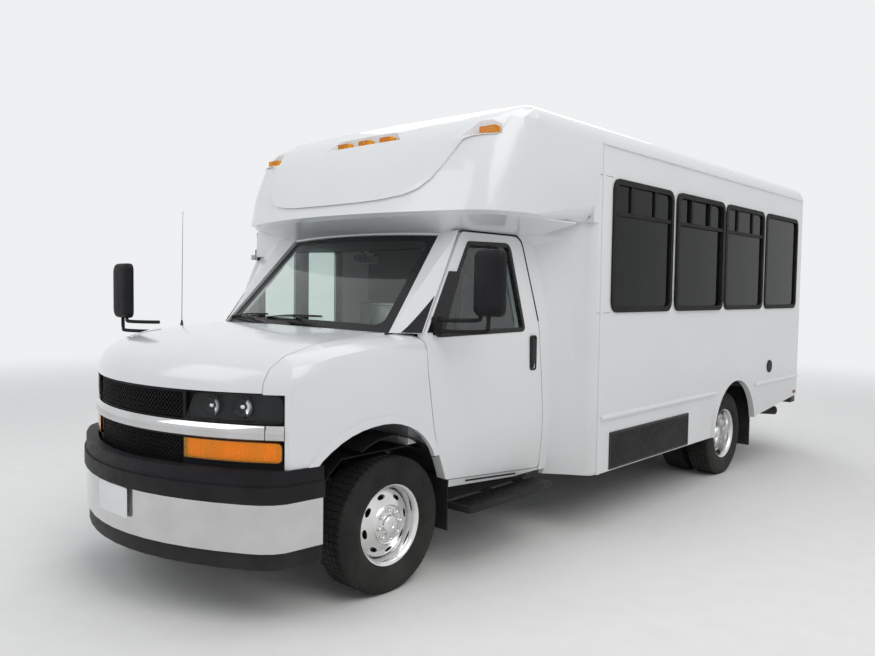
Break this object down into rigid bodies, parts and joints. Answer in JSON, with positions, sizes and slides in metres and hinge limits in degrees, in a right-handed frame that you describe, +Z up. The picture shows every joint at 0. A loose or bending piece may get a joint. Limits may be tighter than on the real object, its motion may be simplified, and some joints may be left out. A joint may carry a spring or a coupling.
{
  "type": "cutaway shuttle minibus",
  "caption": "White shuttle minibus: van nose and cab under a moulded front cap, box body with dark windows, twin rear wheels, hinged doors and steered wheels.",
  "frame": {"origin": "on the ground under the middle of the vehicle's length and width", "axes": "+X forward, +Y to the vehicle's left, +Z up"},
  "size_m": [7.023, 2.7, 2.805],
  "materials": {
    "white_paint": "gloss white",
    "black_plastic": "grained",
    "rubber": "matt",
    "dark_glass": "dark tint",
    "clear_glass": "light green tint",
    "bright_trim": "polished",
    "wheel_steel": "polished",
    "tyre": "moulded",
    "frame_steel": "satin black",
    "cast": "rough",
    "pipe_steel": "dull",
    "lamp_lens": "clear lens",
    "amber_lens": "moulded amber",
    "red_lens": "moulded red",
    "seat_cloth": "woven",
    "floor_vinyl": "ribbed",
    "door_frame_black": "black anodised",
    "rail_steel": "polished"
  },
  "bodies": {
    "vehicle": {"body_roof": "white_paint", "body_side_left": "white_paint", "body_side_right": "white_paint", "rear_wall": "white_paint", "fender_left": "white_paint", "fender_right": "white_paint", "cab_shell": "white_paint", "front_cap": "white_paint", "entry_surround": "white_paint", "grille": "black_plastic", "bumper_cover": "black_plastic", "wheel_liners": "black_plastic", "cowl": "black_plastic", "mirror_right": "black_plastic", "dashboard": "black_plastic", "side_panels": "black_plastic", "running_board": "black_plastic", "window_frames": "rubber", "mud_flaps": "rubber", "window_glass": "dark_glass", "windshield": "clear_glass", "grille_bar": "bright_trim", "bumper_chrome": "bright_trim", "chassis_frame": "frame_steel", "rear_axle": "frame_steel", "suspension": "frame_steel", "rear_bumper": "frame_steel", "engine_block": "cast", "exhaust": "pipe_steel", "fuel_tank": "pipe_steel", "headlamps": "lamp_lens", "turn_lamps": "amber_lens", "marker_lamps": "amber_lens", "tail_lamps": "red_lens", "seats": "seat_cloth", "body_floor": "floor_vinyl", "grab_rails": "rail_steel"},
    "knuckle_left": {"knuckle_left": "frame_steel"},
    "knuckle_right": {"knuckle_right": "frame_steel"},
    "front_wheel_left": {"front_rim_left": "wheel_steel", "front_tyre_left": "tyre"},
    "front_wheel_right": {"front_rim_right": "wheel_steel", "front_tyre_right": "tyre"},
    "rear_wheels_left": {"rear_rims_left": "wheel_steel", "rear_tyres_left": "tyre"},
    "rear_wheels_right": {"rear_rims_right": "wheel_steel", "rear_tyres_right": "tyre"},
    "steering_wheel": {"steering_wheel": "black_plastic"},
    "driver_door": {"driver_door": "white_paint", "driver_door_glass": "clear_glass", "mirror_left": "black_plastic"},
    "entry_leaf_front": {"entry_leaf_front": "door_frame_black", "entry_glass_front": "clear_glass"},
    "entry_leaf_rear": {"entry_leaf_rear": "door_frame_black", "entry_glass_rear": "clear_glass"},
    "rear_door": {"rear_door": "white_paint", "rear_door_frame": "rubber", "rear_door_glass": "dark_glass"},
    "hood": {"hood": "white_paint"}
  },
  "joints": [
    {"name": "steer_left", "type": "hinge", "parent": "vehicle", "child": "knuckle_left", "pos_m": [2.4335, 0.72, 0.36821], "axis": [0, 0, 1], "range_deg": [-32, 32]},
    {"name": "steer_right", "type": "hinge", "parent": "vehicle", "child": "knuckle_right", "pos_m": [2.4335, -0.72, 0.36821], "axis": [0, 0, 1], "range_deg": [-32, 32]},
    {"name": "steering_wheel_turn", "type": "hinge", "parent": "vehicle", "child": "steering_wheel", "pos_m": [1.6335, 0.43, 1.19], "axis": [-0.769, 0, 0.6392], "range_deg": [-450, 450]},
    {"name": "front_left_spin", "type": "hinge", "parent": "knuckle_left", "child": "front_wheel_left", "pos_m": [2.4335, 0.862, 0.36821], "axis": [0, 1, 0], "continuous": true},
    {"name": "front_right_spin", "type": "hinge", "parent": "knuckle_right", "child": "front_wheel_right", "pos_m": [2.4335, -0.862, 0.36821], "axis": [0, 1, 0], "continuous": true},
    {"name": "rear_left_spin", "type": "hinge", "parent": "vehicle", "child": "rear_wheels_left", "pos_m": [-1.6055, 0.916, 0.36821], "axis": [0, 1, 0], "continuous": true},
    {"name": "rear_right_spin", "type": "hinge", "parent": "vehicle", "child": "rear_wheels_right", "pos_m": [-1.6055, -0.916, 0.36821], "axis": [0, 1, 0], "continuous": true},
    {"name": "driver_door_swing", "type": "hinge", "parent": "vehicle", "child": "driver_door", "pos_m": [2.1655, 0.992, 0.95], "axis": [0, 0, -1], "range_deg": [0, 68]},
    {"name": "entry_front_swing", "type": "hinge", "parent": "vehicle", "child": "entry_leaf_front", "pos_m": [1.7735, -1.231, 1.24], "axis": [0, 0, 1], "range_deg": [0, 90]},
    {"name": "entry_rear_swing", "type": "hinge", "parent": "vehicle", "child": "entry_leaf_rear", "pos_m": [0.9335, -1.231, 1.24], "axis": [0, 0, -1], "range_deg": [0, 90]},
    {"name": "rear_door_swing", "type": "hinge", "parent": "vehicle", "child": "rear_door", "pos_m": [-3.3845, -0.437, 1.5], "axis": [0, 0, 1], "range_deg": [0, 100]},
    {"name": "hood_lift", "type": "hinge", "parent": "vehicle", "child": "hood", "pos_m": [2.3435, 0, 1.358], "axis": [0, -1, 0], "range_deg": [0, 45]}
  ],
  "couplings": [
    {"joint": "steer_right", "follows": "steer_left", "ratio": 1},
    {"joint": "steering_wheel_turn", "follows": "steer_left", "ratio": 14}
  ]
}
